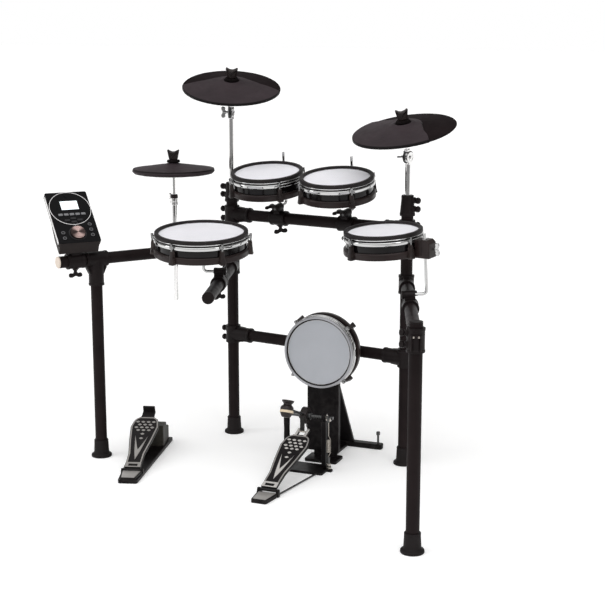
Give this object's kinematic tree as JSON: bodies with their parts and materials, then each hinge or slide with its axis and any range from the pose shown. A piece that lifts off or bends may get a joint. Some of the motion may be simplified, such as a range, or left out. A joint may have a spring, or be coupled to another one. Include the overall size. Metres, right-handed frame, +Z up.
{
  "type": "electronic drum kit",
  "caption": "Electronic drum kit on a black tube rack with mesh drum pads, rubber cymbal pads, a kick pad with a beater pedal, a hi-hat pedal and a sloping sound module.",
  "frame": {"origin": "on the floor under the middle of the kit's bounding box", "axes": "+Z up, -Y towards the player, +X along the rack's back bars towards the ride cymbal and floor tom"},
  "size_m": [1.4734, 0.8388, 1.2685],
  "materials": {
    "tube_paint": "satin black paint with a faint brown tint",
    "moulding": "moulded black plastic",
    "foot_rubber": "black rubber",
    "chrome": "polished chrome plate",
    "hoop_metal": "chrome plated hoop with a black rubber rim",
    "lug_metal": "black lug casing with a bright tension rod",
    "shell_plastic": "gloss black shell",
    "white_mesh": "white woven mesh",
    "grey_mesh": "light blue-grey head",
    "cymbal_rubber": "matte brown-black rubber",
    "pedal_paint": "black paint over steel",
    "strap_plastic": "woven black strap",
    "module_plastic": "black moulded plastic",
    "key_plastic": "light grey key caps",
    "dial_metal": "spun metal with a rose-brown tint"
  },
  "bodies": {
    "rack": {"back_frame": "tube_paint", "back_feet": "foot_rubber", "rack_clamps": "moulding", "kick_tower": "pedal_paint", "kick_shell": "shell_plastic", "kick_head": "grey_mesh", "kick_hoop": "hoop_metal", "kick_pedal_base": "pedal_paint", "kick_spring": "chrome", "hihat_pedal_base": "pedal_paint"},
    "left_wing": {"left_arm": "tube_paint", "left_post": "tube_paint", "left_foot": "foot_rubber", "left_clamps": "moulding"},
    "right_wing": {"right_arm": "tube_paint", "right_post": "tube_paint", "right_foot": "foot_rubber", "right_clamps": "moulding"},
    "snare_swing": {"snare_arm": "tube_paint", "snare_clamps": "moulding"},
    "snare_rod": {"snare_rod": "chrome"},
    "snare": {"snare_shell": "shell_plastic", "snare_head": "white_mesh", "snare_hoop": "hoop_metal", "snare_lugs": "lug_metal"},
    "tom_1_mount": {"tom_1_mount": "moulding"},
    "tom_1": {"tom_1_shell": "shell_plastic", "tom_1_head": "white_mesh", "tom_1_hoop": "hoop_metal", "tom_1_lugs": "lug_metal"},
    "tom_2_mount": {"tom_2_mount": "moulding"},
    "tom_2": {"tom_2_shell": "shell_plastic", "tom_2_head": "white_mesh", "tom_2_hoop": "hoop_metal", "tom_2_lugs": "lug_metal"},
    "floor_tom_mount": {"floor_tom_mount": "moulding"},
    "floor_tom": {"floor_tom_shell": "shell_plastic", "floor_tom_head": "white_mesh", "floor_tom_hoop": "hoop_metal", "floor_tom_lugs": "lug_metal"},
    "crash_tube": {"crash_tube": "chrome"},
    "crash_tilter": {"crash_tilter": "chrome"},
    "crash_pad": {"crash_pad": "cymbal_rubber"},
    "ride_tube": {"ride_tube": "chrome"},
    "ride_tilter": {"ride_tilter": "chrome"},
    "ride_pad": {"ride_pad": "cymbal_rubber"},
    "hihat_tube": {"hihat_tube": "chrome"},
    "hihat_rod": {"hihat_rod": "chrome"},
    "hihat_pad": {"hihat_pad": "cymbal_rubber"},
    "kick_footboard": {"kick_footboard": "pedal_paint"},
    "kick_beater": {"kick_beater": "chrome"},
    "kick_link": {"kick_link": "strap_plastic"},
    "hihat_footboard": {"hihat_footboard": "pedal_paint"},
    "module": {"module_case": "module_plastic", "module_panel": "module_plastic", "module_mount": "moulding"},
    "module_dial": {"module_dial": "dial_metal"},
    "module_soft_keys": {"module_soft_keys": "key_plastic"},
    "module_menu_keys": {"module_menu_keys": "module_plastic"},
    "module_round_keys": {"module_round_keys": "key_plastic"}
  },
  "joints": [
    {"name": "left_wing_swing", "type": "hinge", "parent": "rack", "child": "left_wing", "pos_m": [-0.3475, 0.27959, 0], "axis": [0, 0, 1], "range_deg": [-6, 6]},
    {"name": "right_wing_swing", "type": "hinge", "parent": "rack", "child": "right_wing", "pos_m": [0.3265, 0.27959, 0], "axis": [0, 0, 1], "range_deg": [-6, 6]},
    {"name": "snare_arm_swing", "type": "hinge", "parent": "rack", "child": "snare_swing", "pos_m": [-0.3475, 0.27959, 0], "axis": [0, 0, 1], "range_deg": [-5, 5]},
    {"name": "snare_roll", "type": "hinge", "parent": "snare_swing", "child": "snare_rod", "pos_m": [-0.19287, -0.01872, 0.637], "axis": [-0.8878, -0.4602, 0], "range_deg": [-6, 6]},
    {"name": "snare_height", "type": "slide", "parent": "snare_rod", "child": "snare", "axis": [0.0441, -0.0851, 0.9954], "range_m": [-0.02, 0.02]},
    {"name": "tom_1_tilt", "type": "hinge", "parent": "rack", "child": "tom_1_mount", "pos_m": [-0.1545, 0.27959, 0.777], "axis": [1, 0, 0], "range_deg": [-9, 6]},
    {"name": "tom_1_height", "type": "slide", "parent": "tom_1_mount", "child": "tom_1", "axis": [0.0384, -0.1684, 0.985], "range_m": [-0.02, 0.02]},
    {"name": "tom_2_tilt", "type": "hinge", "parent": "rack", "child": "tom_2_mount", "pos_m": [0.1075, 0.27959, 0.777], "axis": [1, 0, 0], "range_deg": [-9, 6]},
    {"name": "tom_2_height", "type": "slide", "parent": "tom_2_mount", "child": "tom_2", "axis": [0.0384, -0.1684, 0.985], "range_m": [-0.02, 0.02]},
    {"name": "floor_tom_tilt", "type": "hinge", "parent": "right_wing", "child": "floor_tom_mount", "pos_m": [0.50279, -0.032, 0.6], "axis": [0.4924, -0.8704, 0], "range_deg": [-6, 6]},
    {"name": "floor_tom_height", "type": "slide", "parent": "floor_tom_mount", "child": "floor_tom", "axis": [-0.0247, -0.0801, 0.9965], "range_m": [-0.02, 0.02]},
    {"name": "crash_height", "type": "slide", "parent": "rack", "child": "crash_tube", "axis": [0, 0, 1], "range_m": [-0.01, 0.06]},
    {"name": "crash_tilt", "type": "hinge", "parent": "crash_tube", "child": "crash_tilter", "pos_m": [-0.3475, 0.27959, 1.122], "axis": [0.766, 0.6428, 0], "range_deg": [-17, 10]},
    {"name": "crash_rock", "type": "hinge", "parent": "crash_tilter", "child": "crash_pad", "pos_m": [-0.3274, 0.25563, 1.22119], "axis": [0.766, 0.6428, 0], "range_deg": [-3, 3], "stiffness_Nm_per_rad": 6},
    {"name": "ride_height", "type": "slide", "parent": "rack", "child": "ride_tube", "axis": [0, 0, 1], "range_m": [-0.01, 0.06]},
    {"name": "ride_tilt", "type": "hinge", "parent": "ride_tube", "child": "ride_tilter", "pos_m": [0.3265, 0.27959, 1.005], "axis": [0.9903, -0.1392, 0], "range_deg": [-15, 10]},
    {"name": "ride_rock", "type": "hinge", "parent": "ride_tilter", "child": "ride_pad", "pos_m": [0.32263, 0.25206, 1.10522], "axis": [0.9903, -0.1392, 0], "range_deg": [-3, 3], "stiffness_Nm_per_rad": 6},
    {"name": "hihat_tube_height", "type": "slide", "parent": "left_wing", "child": "hihat_tube", "axis": [0, 0, 1], "range_m": [-0.02, 0.02]},
    {"name": "hihat_rod_height", "type": "slide", "parent": "hihat_tube", "child": "hihat_rod", "axis": [0, 0, 1], "range_m": [0, 0.03]},
    {"name": "hihat_rock", "type": "hinge", "parent": "hihat_rod", "child": "hihat_pad", "pos_m": [-0.46676, 0.11183, 0.947], "axis": [-0.8996, 0.4368, 0], "range_deg": [-3, 3], "stiffness_Nm_per_rad": 6},
    {"name": "kick_pedal_press", "type": "hinge", "parent": "rack", "child": "kick_footboard", "pos_m": [0.11975, -0.21241, 0.019], "axis": [-0.9848, -0.1736, 0], "range_deg": [0, 7], "stiffness_Nm_per_rad": 8, "springref_deg": -22.92},
    {"name": "kick_beater_swing", "type": "hinge", "parent": "rack", "child": "kick_beater", "pos_m": [0.0665, 0.08959, 0.172], "axis": [-0.9848, -0.1736, 0], "range_deg": [0, 70], "deforming": ["kick_spring"]},
    {"name": "kick_link_pull", "type": "slide", "parent": "rack", "child": "kick_link", "axis": [0, 0, -1], "range_m": [0, 0.034]},
    {"name": "hihat_pedal_press", "type": "hinge", "parent": "rack", "child": "hihat_footboard", "pos_m": [-0.35298, -0.28382, 0.019], "axis": [-0.891, -0.454, 0], "range_deg": [0, 5], "stiffness_Nm_per_rad": 8, "springref_deg": -22.92},
    {"name": "module_tilt", "type": "hinge", "parent": "left_wing", "child": "module", "pos_m": [-0.60085, -0.24216, 0.667], "axis": [-0.4368, -0.8996, 0], "range_deg": [-10, 10]},
    {"name": "module_dial_turn", "type": "hinge", "parent": "module", "child": "module_dial", "pos_m": [-0.58159, -0.24646, 0.75895], "axis": [0.5729, -0.358, 0.7373], "continuous": true},
    {"name": "module_soft_keys_press", "type": "slide", "parent": "module", "child": "module_soft_keys", "axis": [-0.5729, 0.358, -0.7373], "range_m": [0, 0.0015], "stiffness_N_per_m": 400, "springref_m": -0.001},
    {"name": "module_menu_keys_press", "type": "slide", "parent": "module", "child": "module_menu_keys", "axis": [-0.5729, 0.358, -0.7373], "range_m": [0, 0.0015], "stiffness_N_per_m": 400, "springref_m": -0.001},
    {"name": "module_round_keys_press", "type": "slide", "parent": "module", "child": "module_round_keys", "axis": [-0.5729, 0.358, -0.7373], "range_m": [0, 0.0015], "stiffness_N_per_m": 400, "springref_m": -0.001}
  ],
  "couplings": [
    {"joint": "kick_beater_swing", "follows": "kick_pedal_press", "ratio": 10},
    {"joint": "kick_link_pull", "follows": "kick_pedal_press", "m_per_rad": 0.2776}
  ]
}
